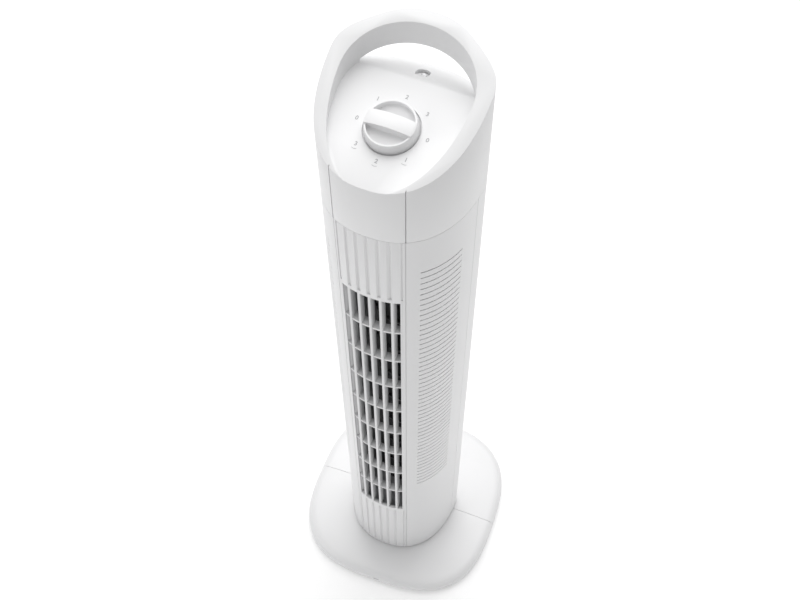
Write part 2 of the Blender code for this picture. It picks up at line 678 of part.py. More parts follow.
# ---------------------------------------------------------------- inside the column
def make_decks():
    """The bottom plate, the deck over the motor and the deck under the switch."""
    outline = cavity_outline(GAP)
    plate = finish("bottom_plate", prism(outline, PLATE_LOW, PLATE_LOW + DECK_THICK),
                   WHITE_INNER, COLUMN)
    inner, outer = BEARING_RING
    rib_low = RING_HIGH + GAP
    rib = as_cutter("plate_rib", cylinders([((0.0, 0.0), rib_low, PLATE_LOW + 0.001)],
                                           outer - 0.0004, 32), COLUMN)
    boolean(rib, as_cutter("plate_rib_bore", cylinders([((0.0, 0.0), 0.0, 0.1)],
                                                       inner + 0.0004, 32), COLUMN))
    boolean(plate, rib, "UNION")
    posts = [((side * SWING_EAR_X, -CRANK_OFFSET), PLATE_LOW + 0.001, SWING_MOTOR_LOW - GAP)
             for side in (-1, 1)]
    boolean(plate, as_cutter("plate_posts", cylinders(posts, BOSS_RADIUS, 12), COLUMN), "UNION")
    pilots = [(place, SWING_MOTOR_LOW - 0.010, SWING_MOTOR_LOW + 0.01) for place, _, _ in posts]
    boolean(plate, as_cutter("plate_pilots", cylinders(pilots, PILOT_RADIUS, 12), COLUMN))
    holes = [((0.0, 0.0), 0.0, 0.1)]
    boolean(plate, as_cutter("plate_pivot_hole", cylinders(holes, PIVOT_RADIUS + 0.0004),
                             COLUMN))
    crank_hole = [((0.0, -CRANK_OFFSET), 0.0, 0.1)]
    boolean(plate, as_cutter("plate_crank_hole", cylinders(crank_hole, 0.0045), COLUMN))

    loom = [((LOOM_X, LOOM_Y), 0.0, 1.0)]
    deck = finish("motor_deck", prism(outline, MOTOR_DECK_LOW, MOTOR_DECK_LOW + DECK_THICK),
                  WHITE_INNER, COLUMN)
    boolean(deck, as_cutter("deck_shaft_hole", cylinders([((WHEEL_X, WHEEL_Y), 0.0, 1.0)],
                                                         0.0085), COLUMN))
    boolean(deck, as_cutter("deck_loom_hole", cylinders(loom, 0.0034, 12), COLUMN))
    screws = [((WHEEL_X + side * MOTOR_SCREW_X, WHEEL_Y), 0.0, 1.0) for side in (-1, 1)]
    boolean(deck, as_cutter("deck_screw_holes", cylinders(screws, 0.0023, 12), COLUMN))

    deck = finish("bearing_deck", prism(outline, BEARING_DECK_LOW,
                                        BEARING_DECK_LOW + DECK_THICK), WHITE_INNER, COLUMN)
    post = cylinders([((0.0, POCKET_Y), BEARING_DECK_LOW + 0.002, POCKET_FLOOR - 0.003 - GAP)],
                     0.0048, 16)
    boolean(deck, as_cutter("screw_post", post, COLUMN), "UNION")
    pilot = cylinders([((0.0, POCKET_Y), POCKET_FLOOR - 0.016, 0.75)], PILOT_RADIUS, 12)
    boolean(deck, as_cutter("screw_post_pilot", pilot, COLUMN))
    boolean(deck, as_cutter("deck_bearing_hole", cylinders([((WHEEL_X, WHEEL_Y), 0.0, 1.0)],
                                                           0.0080), COLUMN))
    boolean(deck, as_cutter("bearing_deck_loom_hole", cylinders(loom, 0.0034, 12), COLUMN))
    top = BEARING_DECK_LOW + DECK_THICK + GAP
    low = BEARING_DECK_LOW - 0.001
    bearing = [(0.0110, top + 0.0022), (0.0110, top), (0.0077, top), (0.0077, low),
               (PIN_RADIUS + GAP, low), (PIN_RADIUS + GAP, top + 0.0022)]
    turned("upper_bearing", bearing, NYLON, (WHEEL_X, WHEEL_Y), 20, COLUMN)


def sheet(name, route, low, high, thickness, material):
    """A thin wall along a route in X and Y, thickened evenly with Solidify."""
    bm = bmesh.new()
    lower = [bm.verts.new((x, y, low)) for x, y in route]
    upper = [bm.verts.new((x, y, high)) for x, y in route]
    for index in range(len(route) - 1):
        bm.faces.new((lower[index], lower[index + 1], upper[index + 1], upper[index]))
    mesh = bpy.data.meshes.new("shape")
    bm.to_mesh(mesh)
    bm.free()
    part = finish(name, mesh, material, COLUMN)
    wall = part.modifiers.new("wall", "SOLIDIFY")
    wall.thickness = thickness
    wall.offset = 0.0
    wall.use_even_offset = True
    return part


def make_duct():
    """The scroll behind the wheel and the tongue that divides intake from outlet."""
    low = MOTOR_DECK_LOW + DECK_THICK + GAP
    high = BEARING_DECK_LOW - GAP
    start_y = front_y(0.031, FASCIA_THICK + GAP + BACKING) + 0.002
    scroll = []
    first, last, steps = math.radians(62), math.radians(215), 16
    for index in range(steps + 1):
        share = index / steps
        angle = first + (last - first) * share
        radius = WHEEL_RADIUS + 0.0030 + 0.0115 * share
        scroll.append((WHEEL_X + radius * math.cos(angle), WHEEL_Y + radius * math.sin(angle)))
    scroll.append((-0.0310, start_y))
    sheet("duct_scroll", scroll, low, high, 0.0020, WHITE_INNER)
    tongue = [(0.0310, start_y), (0.0285, -0.0460), (0.0262, -0.0330), (0.0285, -0.0300),
              (0.0330, -0.0320), (0.0400, -0.0400)]
    sheet("duct_tongue", tongue, low, high, 0.0020, WHITE_INNER)


def make_wheel():
    """The cross-flow wheel, the motor's shaft and rotor, and the upper pin."""
    centre = (WHEEL_X, WHEEL_Y)
    hub_low = WHEEL_LOW - 0.002
    bore = SHAFT_RADIUS + GAP
    lower = [(0.0, WHEEL_LOW + 0.014), (0.0070, WHEEL_LOW + 0.014),
             (0.0070, WHEEL_LOW + WHEEL_DISC), (WHEEL_RADIUS, WHEEL_LOW + WHEEL_DISC),
             (WHEEL_RADIUS, WHEEL_LOW), (0.0070, WHEEL_LOW), (0.0070, hub_low),
             (bore, hub_low), (bore, WHEEL_LOW + 0.010), (0.0, WHEEL_LOW + 0.010)]
    wheel = turned("impeller_wheel", lower, DARK, centre, 24, COLUMN)
    pin_bore = PIN_RADIUS + GAP
    discs = []
    middle = (WHEEL_LOW + WHEEL_HIGH - WHEEL_DISC) / 2
    for low in (middle, WHEEL_HIGH - WHEEL_DISC):
        discs.append((centre, low, low + WHEEL_DISC))
    stack = as_cutter("wheel_discs", cylinders(discs, WHEEL_RADIUS, 24), COLUMN)
    top_hub = cylinders([(centre, WHEEL_HIGH - 0.014, WHEEL_HIGH + 0.001)], 0.0070, 16)
    boolean(stack, as_cutter("wheel_top_hub", top_hub, COLUMN), "UNION")
    hole = cylinders([(centre, WHEEL_HIGH - 0.011, WHEEL_HIGH + 0.1)], pin_bore, 12)
    boolean(stack, as_cutter("wheel_pin_bore", hole, COLUMN))
    bm = bmesh.new()
    for index in range(WHEEL_BLADES):
        angle = 2 * math.pi * index / WHEEL_BLADES
        radius = (WHEEL_RADIUS + WHEEL_INNER) / 2 - 0.0004
        place = (Matrix.Translation((*centre, (WHEEL_LOW + WHEEL_HIGH) / 2))
                 @ Matrix.Rotation(angle, 4, "Z") @ Matrix.Translation((radius, 0.0, 0.0))
                 @ Matrix.Rotation(math.radians(38), 4, "Z"))
        size = Matrix.Diagonal((WHEEL_RADIUS - WHEEL_INNER, BLADE_THICK,
                                WHEEL_HIGH - WHEEL_LOW - WHEEL_DISC, 1.0))
        bmesh.ops.create_cube(bm, size=1.0, matrix=place @ size)
    blades = as_cutter("wheel_blades", from_bmesh(bm), COLUMN)
    boolean(blades, stack, "UNION")
    boolean(wheel, blades, "UNION")

    pin = [(0.0, WHEEL_HIGH + 0.014), (PIN_RADIUS, WHEEL_HIGH + 0.014),
           (PIN_RADIUS, WHEEL_HIGH - 0.0105), (0.0, WHEEL_HIGH - 0.0105)]
    turned("impeller_pin", pin, STEEL, centre, 16, COLUMN)
    shaft = [(0.0, WHEEL_LOW + 0.0095), (SHAFT_RADIUS, WHEEL_LOW + 0.0095),
             (SHAFT_RADIUS, 0.0660), (0.0, 0.0660)]
    turned("motor_shaft", shaft, STEEL, centre, 16, COLUMN)
    turned("motor_rotor", ring_profile(bore, BORE_RADIUS - 0.0005, CORE_LOW, CORE_HIGH),
           LAMINATION, centre, 28, COLUMN)


def make_motor():
    """The shaded-pole motor: core, coil, two brackets, screws and rubber mounts."""
    core_box = boxes([((WHEEL_X - 0.030, WHEEL_Y - 0.022, CORE_LOW),
                       (WHEEL_X + 0.030, WHEEL_Y + 0.039, CORE_HIGH))])
    core = finish("motor_core", core_box, LAMINATION, COLUMN)
    bore = [((WHEEL_X, WHEEL_Y), 0.0, 0.2)]
    boolean(core, as_cutter("core_bore", cylinders(bore, BORE_RADIUS, 28), COLUMN))
    window = boxes([((WHEEL_X - 0.020, WHEEL_Y + 0.0185, 0.0),
                     (WHEEL_X + 0.020, WHEEL_Y + 0.0280, 0.2))])
    boolean(core, as_cutter("core_window", window, COLUMN))
    screws = [((WHEEL_X + side * MOTOR_SCREW_X, WHEEL_Y), 0.0, 0.2) for side in (-1, 1)]
    boolean(core, as_cutter("core_screw_holes", cylinders(screws, 0.0023, 12), COLUMN))

    coil_box = boxes([((WHEEL_X - 0.017, WHEEL_Y + 0.0188, CORE_LOW - 0.008),
                       (WHEEL_X + 0.017, WHEEL_Y + 0.0460, CORE_HIGH + 0.008))])
    coil = finish("motor_coil", coil_box, COPPER, COLUMN)
    rounding = coil.modifiers.new("rounding", "BEVEL")
    rounding.width = 0.0012
    rounding.segments = 1
    inside = boxes([((-0.1, WHEEL_Y + 0.0277, CORE_LOW - GAP),
                     (0.1, WHEEL_Y + 0.0393, CORE_HIGH + GAP))])
    boolean(coil, as_cutter("coil_inside", inside, COLUMN))

    for name, plate_low, foot_low, foot_high in (
            ("motor_top_bracket", 0.1060, CORE_HIGH + GAP, 0.1065),
            ("motor_bottom_bracket", BRACKET_LOW, BRACKET_LOW + 0.0025, CORE_LOW - GAP)):
        plate = boxes([((WHEEL_X - 0.030, WHEEL_Y - 0.010, plate_low),
                        (WHEEL_X + 0.030, WHEEL_Y + 0.010, plate_low + 0.003))])
        bracket = finish(name, plate, STEEL, COLUMN)
        feet = boxes([((WHEEL_X + side * 0.0245 - 0.0050, WHEEL_Y - 0.009, foot_low),
                       (WHEEL_X + side * 0.0245 + 0.0050, WHEEL_Y + 0.009, foot_high))
                      for side in (-1, 1)])
        boolean(bracket, as_cutter(name + "_feet", feet, COLUMN), "UNION")
        hole = cylinders([((WHEEL_X, WHEEL_Y), 0.0, 0.2)], SHAFT_RADIUS + GAP, 16)
        boolean(bracket, as_cutter(name + "_bore", hole, COLUMN))
        boolean(bracket, as_cutter(name + "_screw_holes", cylinders(screws, 0.0023, 12),
                                   COLUMN))
    for number, side in ((1, -1), (2, 1)):
        x = WHEEL_X + side * MOTOR_SCREW_X
        head_z = BRACKET_LOW - GAP
        screw_part(f"motor_screw_{number}", (x, WHEEL_Y, head_z), (0, 0, 1),
                   MOTOR_DECK_LOW + 0.002 - head_z, COLUMN, radius=0.0020, head_radius=0.0040)
        mount = ring_profile(0.0023, 0.0060, 0.1090 + GAP, MOTOR_DECK_LOW - GAP)
        turned(f"motor_mount_{number}", mount, RUBBER, (x, WHEEL_Y), 16, COLUMN)


def make_swing_drive():
    """The slow swing motor on the bottom plate, its screws, and the crank below."""
    low = SWING_MOTOR_LOW
    can = cylinders([((0.0, -CRANK_OFFSET), low, low + 0.0180)], SWING_MOTOR_RADIUS, 32)
    motor = finish("swing_motor", can, STEEL, COLUMN)
    ears = boxes([((-0.0350, -CRANK_OFFSET - 0.004, low),
                   (0.0350, -CRANK_OFFSET + 0.004, low + 0.0020))])
    boolean(motor, as_cutter("swing_motor_ears", ears, COLUMN), "UNION")
    socket = cylinders([((0.0, -CRANK_OFFSET), 0.0, low + 0.008)], 0.0034, 16)
    boolean(motor, as_cutter("swing_motor_socket", socket, COLUMN))
    holes = [((side * SWING_EAR_X, -CRANK_OFFSET), 0.0, 0.1) for side in (-1, 1)]
    boolean(motor, as_cutter("swing_ear_holes", cylinders(holes, PILOT_RADIUS, 12), COLUMN))
    for number, side in ((1, -1), (2, 1)):
        head = (side * SWING_EAR_X, -CRANK_OFFSET, low + 0.0020 + GAP)
        screw_part(f"swing_motor_screw_{number}", head, (0, 0, -1), 0.0090, COLUMN)

    crank = turned("swing_crank", [(0.0, low + 0.007), (0.0031, low + 0.007),
                                   (0.0031, 0.0280), (CRANK_THROW + 0.0036, 0.0280),
                                   (CRANK_THROW + 0.0036, 0.0250), (0.0, 0.0250)],
                   NYLON, (0.0, -CRANK_OFFSET), 32, COLUMN)
    crank.rotation_euler = (0.0, 0.0, CRANK_RATIO * SWING_REST)
    pin = as_cutter("crank_pin", cylinders([((0.0, -CRANK_THROW), 0.0145, 0.0260)],
                                           CRANK_PIN_RADIUS, 16), crank)
    boolean(crank, pin, "UNION")


def make_switch_and_knob():
    """The rotary switch under the panel, its nut and spindle, and the knob."""
    body_high = -PANEL_THICK - GAP
    switch = finish("rotary_switch", boxes([((-0.015, -0.015, -0.0230),
                                             (0.015, 0.015, body_high))]), NYLON, DIAL)
    neck = cylinders([((0.0, 0.0), body_high - 0.001, 0.0002)], 0.0047, 20)
    boolean(switch, as_cutter("switch_neck", neck, DIAL), "UNION")
    bore = cylinders([((0.0, 0.0), -0.0150, 0.1)], SPINDLE_RADIUS + GAP, 16)
    boolean(switch, as_cutter("switch_bore", bore, DIAL))
    nut_low = -DIAL_RECESS_DEPTH + GAP
    nut_part("switch_nut", 0.0078, 0.0050, nut_low, nut_low + 0.0019, DIAL)
    spindle = [(0.0, 0.0078), (SPINDLE_RADIUS, 0.0078), (SPINDLE_RADIUS, -0.0145),
               (0.0, -0.0145)]
    turned("switch_spindle", spindle, NYLON, steps=16, parent=DIAL)

    low = -DIAL_RECESS_DEPTH + 0.0005
    profile = [(0.0, KNOB_SKIRT_HIGH), (KNOB_TOP_RADIUS - 0.0008, KNOB_SKIRT_HIGH),
               (KNOB_TOP_RADIUS, KNOB_SKIRT_HIGH - 0.0008), (KNOB_RADIUS, low),
               (0.0092, low), (0.0092, 0.0009), (0.0033, 0.0009), (0.0033, 0.0081),
               (0.0, 0.0081)]
    knob = turned("speed_knob", profile, WHITE, steps=32, parent=DIAL)
    edge = math.asin(KNOB_BAR_HALF / KNOB_TOP_RADIUS)
    bar = []
    for side in (0.0, math.pi):
        for index in range(7):
            angle = side - edge + 2 * edge * index / 6
            bar.append((KNOB_TOP_RADIUS * 0.985 * math.cos(angle),
                        KNOB_TOP_RADIUS * 0.985 * math.sin(angle)))
    grip = prism(bar, KNOB_SKIRT_HIGH - 0.0002, KNOB_BAR_HIGH)
    boolean(knob, as_cutter("knob_bar", grip, DIAL), "UNION")
    for name, side in (("knob_scoop_back", 1), ("knob_scoop_front", -1)):
        start = math.asin(KNOB_BAR_HALF / KNOB_SCOOP_RADIUS)
        scoop = []
        for index in range(15):
            angle = start + (math.pi - 2 * start) * index / 14
            scoop.append((KNOB_SCOOP_RADIUS * math.cos(angle),
                          side * KNOB_SCOOP_RADIUS * math.sin(angle)))
        boolean(knob, as_cutter(name, prism(scoop, KNOB_SCOOP_FLOOR, 0.05), DIAL))


def make_loom():
    """The wires from the switch down to the motor, bundled in one sleeve."""
    route = [(0.020, -0.004, 0.6900), (0.033, 0.010, 0.6880), (0.039, 0.016, 0.6800),
             (LOOM_X, LOOM_Y, 0.6680), (LOOM_X, LOOM_Y, 0.5800), (LOOM_X, LOOM_Y, 0.3500),
             (LOOM_X, LOOM_Y, 0.1500), (LOOM_X, LOOM_Y, 0.1180), (0.037, 0.0190, 0.1080),
             (0.029, 0.0210, 0.1040)]
    curve = bpy.data.curves.new("wire_loom", "CURVE")
    curve.dimensions = "3D"
    curve.bevel_depth = 0.0025
    curve.bevel_resolution = 2
    curve.use_fill_caps = True
    spline = curve.splines.new("POLY")
    spline.points.add(len(route) - 1)
    for point, (x, y, z) in zip(spline.points, route):
        point.co = (x, y, z, 1.0)
    loom = bpy.data.objects.new("wire_loom", curve)
    loom.parent = COLUMN
    curve.materials.append(RUBBER)
    PARTS.objects.link(loom)


make_base()
make_front_housing()
make_rear_housing()
make_front_grille()
make_top_housing()
make_decks()
make_duct()
make_wheel()
make_motor()
make_swing_drive()
make_switch_and_knob()
make_loom()
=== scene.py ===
"""Looks for the tower fan: smooth housings with fine louvres, deep grille, dial and light."""

import json
import math

import bmesh
import bpy
from mathutils import Matrix, Vector


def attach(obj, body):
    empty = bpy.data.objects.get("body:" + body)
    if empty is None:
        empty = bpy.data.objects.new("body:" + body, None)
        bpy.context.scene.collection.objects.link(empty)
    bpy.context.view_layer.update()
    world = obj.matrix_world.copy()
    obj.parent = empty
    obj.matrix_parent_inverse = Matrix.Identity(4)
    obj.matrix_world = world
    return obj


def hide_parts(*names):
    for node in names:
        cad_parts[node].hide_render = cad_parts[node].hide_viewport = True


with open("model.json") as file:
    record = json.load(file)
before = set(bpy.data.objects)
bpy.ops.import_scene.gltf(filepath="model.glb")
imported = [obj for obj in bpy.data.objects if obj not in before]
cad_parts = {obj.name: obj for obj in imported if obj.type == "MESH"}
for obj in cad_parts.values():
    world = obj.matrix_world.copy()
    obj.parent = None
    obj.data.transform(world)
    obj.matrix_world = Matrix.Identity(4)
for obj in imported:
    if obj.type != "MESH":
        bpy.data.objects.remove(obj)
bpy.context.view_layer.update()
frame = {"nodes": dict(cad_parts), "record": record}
NODES = frame["nodes"]

# The same driving sizes as the solid model, in metres.
TURN = Matrix.Rotation(math.radians(-4), 4, "Z")     # how far the column is stored turned
FAR = 0.2                                            # beyond the column on every side
TALL = 0.9                                           # higher than the whole fan
GAP = 0.0004
HALF_WIDTH, WIDEST_Y = 0.0655, 0.0087
FRONT_DEPTH, BACK_DEPTH = 0.0840, 0.0433
FRONT_EXPONENT, BACK_EXPONENT = 2.32, 1.70
FRONT_Y, BACK_Y = WIDEST_Y - FRONT_DEPTH, WIDEST_Y + BACK_DEPTH
COLUMN_LOW, SPLIT_Y, WALL, SEAM_Z = 0.0205, -0.004, 0.0025, 0.6405
HEIGHT, TOP_SLOPE = 0.760, math.tan(math.radians(27.0))
PANEL_TILT = math.radians(15.5)
PANEL_SLOPE, DECK_SLOPE = math.tan(PANEL_TILT), math.tan(math.radians(-21.0))
RIDGE_Y, HANDLE_HEIGHT, PANEL_THICK = 0.0200, 0.0200, 0.0040
BOWL_HALF, BOWL_BACK, BOWL_FRONT = 0.0535, 0.0425, 0.0780
POCKET_FLOOR, POCKET_Y = 0.7110, 0.0340
TOP_FRONT_Z = HEIGHT - TOP_SLOPE * (BACK_Y - FRONT_Y)
RIDGE_Z = TOP_FRONT_Z + PANEL_SLOPE * (RIDGE_Y - FRONT_Y)
FASCIA_HALF, FASCIA_THICK, BACKING = 0.0310, 0.0030, 0.0022
OUTLET_LOW, OUTLET_HIGH = 0.1390, 0.5597
DIAL_Y = -0.0244
DIAL_RECESS_RADIUS, DIAL_RECESS_DEPTH = 0.0226, 0.0020
BASE_EXPONENT, BASE_TOP, HUB_HOLE = 2.85, 0.0190, 0.0485
WHEEL_X, WHEEL_Y, WHEEL_RADIUS = 0.003, -0.005, 0.030
WHEEL_LOW, WHEEL_HIGH = 0.133, 0.567
PILOT_RADIUS = 0.0017
SCREWS = [(side * 0.050, z) for side in (-1, 1) for z in (0.090, 0.624)]

# Details that only the look has.
LOUVRE_LOW, LOUVRE_PITCH, LOUVRE_ROWS, LOUVRE_SLOT = 0.2035, 0.0076, 53, 0.0013
LOUVRE_SIDE_Y = (-0.0616, -0.0250)
FLUTE_PITCH, VANE_PITCH, VANE_HALF, VANE_DEPTH = 0.0094, 0.0100, 0.0013, 0.0080
OUTLET_HALF = 0.0268
OUTLET_ROWS, BAR_HALF_HEIGHT, BAR_DEPTH = 9, 0.0011, 0.0085
BLADES, BLADE_HALF_THICK, WHEEL_DISCS, DISC_THICK = 30, 0.0005, 10, 0.002
MARK_RADIUS, DIGIT_SIZE = 0.0287, 0.0048


# ---------------------------------------------------------------- materials
def material(name, colour, roughness, grain=0.02, scale=900.0, metallic=0.0, tint=0.02,
             coat=0.0, stretch=None):
    """A Principled material with grain in its bump and slow drift in its colour."""
    made = bpy.data.materials.new(name)
    made.use_nodes = True
    tree = made.node_tree
    shader = tree.nodes["Principled BSDF"]
    shader.inputs["Metallic"].default_value = metallic
    shader.inputs["Coat Weight"].default_value = coat
    shader.inputs["Coat Roughness"].default_value = 0.25
    where = tree.nodes.new("ShaderNodeTexCoord")
    mapping = tree.nodes.new("ShaderNodeMapping")
    mapping.inputs["Scale"].default_value = stretch or (1, 1, 1)
    tree.links.new(where.outputs["Object"], mapping.inputs["Vector"])

    def noise(size, detail):
        """Noise in the piece's own coordinates."""
        node = tree.nodes.new("ShaderNodeTexNoise")
        node.inputs["Scale"].default_value = size
        node.inputs["Detail"].default_value = detail
        tree.links.new(mapping.outputs["Vector"], node.inputs["Vector"])
        return node.outputs["Fac"]

    drift = tree.nodes.new("ShaderNodeMapRange")
    tree.links.new(noise(14.0, 3.0), drift.inputs["Value"])
    mix = tree.nodes.new("ShaderNodeMix")
    mix.data_type = "RGBA"
    mix.inputs["A"].default_value = (*[max(c * (1 - tint), 0) for c in colour], 1)
    mix.inputs["B"].default_value = (*[min(c * (1 + tint), 1) for c in colour], 1)
    tree.links.new(drift.outputs["Result"], mix.inputs["Factor"])
    tree.links.new(mix.outputs["Result"], shader.inputs["Base Color"])
    rough = tree.nodes.new("ShaderNodeMapRange")
    rough.inputs["To Min"].default_value = max(roughness - 0.06, 0.0)
    rough.inputs["To Max"].default_value = roughness + 0.06
    tree.links.new(noise(60.0, 4.0), rough.inputs["Value"])
    tree.links.new(rough.outputs["Result"], shader.inputs["Roughness"])
    bump = tree.nodes.new("ShaderNodeBump")
    bump.inputs["Strength"].default_value = grain
    bump.inputs["Distance"].default_value = 0.0004
    tree.links.new(noise(scale, 2.0), bump.inputs["Height"])
    tree.links.new(bump.outputs["Normal"], shader.inputs["Normal"])
    return made


WHITE = material("white_shell", (0.80, 0.80, 0.805), 0.40, 0.10, 1400, coat=0.15, tint=0.008)
INNER = material("inner_plastic", (0.50, 0.51, 0.52), 0.55, 0.15, 900)
DARK = material("wheel_plastic", (0.060, 0.061, 0.064), 0.42, 0.15, 900)
RUBBER = material("soft_rubber", (0.035, 0.035, 0.036), 0.85, 0.30, 2200, tint=0.10)
STEEL = material("plated_steel", (0.50, 0.50, 0.51), 0.52, 0.10, 500, metallic=1.0,
                 stretch=(1, 1, 12))
LAMINATION = material("laminations", (0.30, 0.31, 0.33), 0.42, 0.60, 60, metallic=1.0,
                      stretch=(1, 1, 40))
COPPER = material("copper_winding", (0.55, 0.24, 0.10), 0.36, 0.70, 60, metallic=1.0,
                  stretch=(1, 1, 40))
NYLON = material("natural_nylon", (0.76, 0.75, 0.69), 0.42, 0.12, 900)
PRINT = material("grey_print", (0.42, 0.42, 0.43), 0.55, 0.05, 1400)
FLOOR = material("floor", (0.93, 0.93, 0.93), 0.75, 0.02, 300, tint=0.004)
FLOOR.node_tree.nodes["Principled BSDF"].inputs["Emission Color"].default_value = (1, 1, 1, 1)
FLOOR.node_tree.nodes["Principled BSDF"].inputs["Emission Strength"].default_value = 0.16
BY_SLOT = {"white_plastic": WHITE, "inner_plastic": INNER, "dark_plastic": DARK,
           "rubber": RUBBER, "steel": STEEL, "lamination": LAMINATION, "winding": COPPER,
           "nylon": NYLON}
SLOTS = {item["node"]: item["material_slot"] for item in frame["record"]["subparts"]}
for node_name, node in NODES.items():
    node.data.materials.clear()
    node.data.materials.append(BY_SLOT[SLOTS[node_name]])


# ---------------------------------------------------------------- mesh helpers
def to_object(bm, name="shape"):
    """A scene object from a bmesh, with its faces pointing out."""
    bmesh.ops.recalc_face_normals(bm, faces=bm.faces)
    mesh = bpy.data.meshes.new(name)
    bm.to_mesh(mesh)
    bm.free()
    made = bpy.data.objects.new(name, mesh)
    bpy.context.scene.collection.objects.link(made)
    return made


def apply_modifiers(made):
    """Replace the mesh with what its modifiers make of it."""
    bpy.context.view_layer.update()
    graph = bpy.context.evaluated_depsgraph_get()
    mesh = bpy.data.meshes.new_from_object(made.evaluated_get(graph))
    made.modifiers.clear()
    made.data = mesh
    return made


def carve(made, tool, operation="DIFFERENCE"):
    """Boolean with a tool, which is used up."""
    modifier = made.modifiers.new("carve", "BOOLEAN")
    modifier.operation = operation
    modifier.solver = "EXACT"
    modifier.object = tool
    apply_modifiers(made)
    bpy.data.objects.remove(tool)
    return made


def soften(made, width, segments=2, angle=35):
    """Rounded edges, then smooth shading."""
    bevel = made.modifiers.new("soften", "BEVEL")
    bevel.width = width
    bevel.segments = segments
    bevel.limit_method = "ANGLE"
    bevel.angle_limit = math.radians(angle)
    bevel.harden_normals = False
    apply_modifiers(made)
    return smooth(made)


def smooth(made, angle=32):
    """Smooth shading with sharp edges kept."""
    made.data.shade_smooth()
    made.data.set_sharp_from_angle(angle=math.radians(angle))
    return made


def place(made, name, look, body, nodes=(), column=True, matrix=None):
    """Name a piece, put it in the row frame, give it its looks and let it ride."""
    if matrix is not None:
        made.data.transform(matrix)
    if column:
        made.data.transform(TURN)
    made.name = name
    made.data.name = name
    made.data.materials.clear()
    made.data.materials.append(look)
    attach(made, body)
    if nodes:
        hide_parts(*nodes)
    return made


def prism(outline, low, high):
    """An outline in X and Y between two heights, which may be functions of (x, y)."""
    low_at = low if callable(low) else lambda x, y: low
    high_at = high if callable(high) else lambda x, y: high
    bm = bmesh.new()
    face = bm.faces.new([bm.verts.new((x, y, low_at(x, y))) for x, y in outline])
    top = bmesh.ops.extrude_face_region(bm, geom=[face])["geom"]
    for vert in (item for item in top if isinstance(item, bmesh.types.BMVert)):
        vert.co.z = high_at(vert.co.x, vert.co.y)
    return to_object(bm)


def across(outline):
    """A solid all the way across the column from an outline in Y and Z."""
    bm = bmesh.new()
    face = bm.faces.new([bm.verts.new((-FAR, y, z)) for y, z in outline])
    moved = bmesh.ops.extrude_face_region(bm, geom=[face])["geom"]
    for vert in (item for item in moved if isinstance(item, bmesh.types.BMVert)):
        vert.co.x = FAR
    return to_object(bm)


def boxes(places):
    """Separate boxes in one object."""
    bm = bmesh.new()
    for low, high in places:
        size = Vector(high) - Vector(low)
        middle = (Vector(high) + Vector(low)) / 2
        bmesh.ops.create_cube(bm, size=1.0, matrix=Matrix.Translation(middle) @
                              Matrix.Diagonal((*size, 1.0)))
    return to_object(bm)


def cylinders(places, radius, steps=32):
    """Separate upright cylinders in one object; each place is ((x, y), low, high)."""
    bm = bmesh.new()
    for (x, y), low, high in places:
        middle = Matrix.Translation((x, y, (low + high) / 2))
        bmesh.ops.create_cone(bm, cap_ends=True, segments=steps, radius1=radius,
                              radius2=radius, depth=high - low, matrix=middle)
    return to_object(bm)


def rods_along_y(places, radius, steps=24):
    """Separate cylinders along Y; each place is ((x, z), low_y, high_y)."""
    bm = bmesh.new()
    for (x, z), low, high in places:
        turn = Matrix.Rotation(math.pi / 2, 4, "X")
        middle = Matrix.Translation((x, (low + high) / 2, z)) @ turn
        bmesh.ops.create_cone(bm, cap_ends=True, segments=steps, radius1=radius,
                              radius2=radius, depth=high - low, matrix=middle)
    return to_object(bm)


def turned(profile, steps=64):
    """A turned solid about Z from points of (radius, z)."""
    bm = bmesh.new()
    rings = []
    for radius, z in profile:
        if radius == 0.0:
            rings.append([bm.verts.new((0, 0, z))])
        else:
            rings.append([bm.verts.new((radius * math.cos(2 * math.pi * k / steps),
                                        radius * math.sin(2 * math.pi * k / steps), z))
                          for k in range(steps)])
    if profile[0][0] > 0.0:
        rings.append(rings[0])
    for first, second in zip(rings, rings[1:]):
        for k in range(steps):
            after = (k + 1) % steps
            corners = [first[k % len(first)], first[after % len(first)],
                       second[after % len(second)], second[k % len(second)]]
            bm.faces.new(list(dict.fromkeys(corners)))
    return to_object(bm)


# ---------------------------------------------------------------- the column's outlines
def front_y(x, inset=0.0):
    """Y of the column's front at x, inset from its surface."""
    share = min(abs(x) / (HALF_WIDTH - inset), 1.0)
    reach = (1.0 - share ** FRONT_EXPONENT) ** (1.0 / FRONT_EXPONENT)
    return WIDEST_Y - (FRONT_DEPTH - inset) * reach


def front_arc(x_start, y_end, inset, count=28):
    """Right-hand points from x_start at the front, back to y_end."""
    half, depth, power = HALF_WIDTH - inset, FRONT_DEPTH - inset, FRONT_EXPONENT / 2
    start = math.acos((x_start / half) ** power)
    end = math.asin(((WIDEST_Y - y_end) / depth) ** power)
    points = []
    for index in range(count + 1):
        angle = start + (end - start) * index / count
        points.append((half * math.cos(angle) ** (1 / power),
                       WIDEST_Y - depth * math.sin(angle) ** (1 / power)))
    return points


def back_point(angle, inset):
    """The right-hand point at an angle, from 0 at the widest place to 90 degrees at the back."""
    power = (BACK_EXPONENT + (2.0 - BACK_EXPONENT) * math.cos(2 * angle) ** 2) / 2
    return ((HALF_WIDTH - inset) * math.cos(angle) ** (1 / power),
            WIDEST_Y + (BACK_DEPTH - inset) * math.sin(angle) ** (1 / power))


def back_arc(inset, count=28):
    """Right-hand points from the widest place back to near the middle line."""
    return [back_point(math.pi / 2 * index / count, inset) for index in range(1, count)]


def back_y(x):
    """Y of the column's back at x."""
    low, high = 0.0, math.pi / 2
    for _ in range(40):
        middle = (low + high) / 2
        if back_point(middle, 0.0)[0] > x:
            low = middle
        else:
            high = middle
    return back_point(high, 0.0)[1]


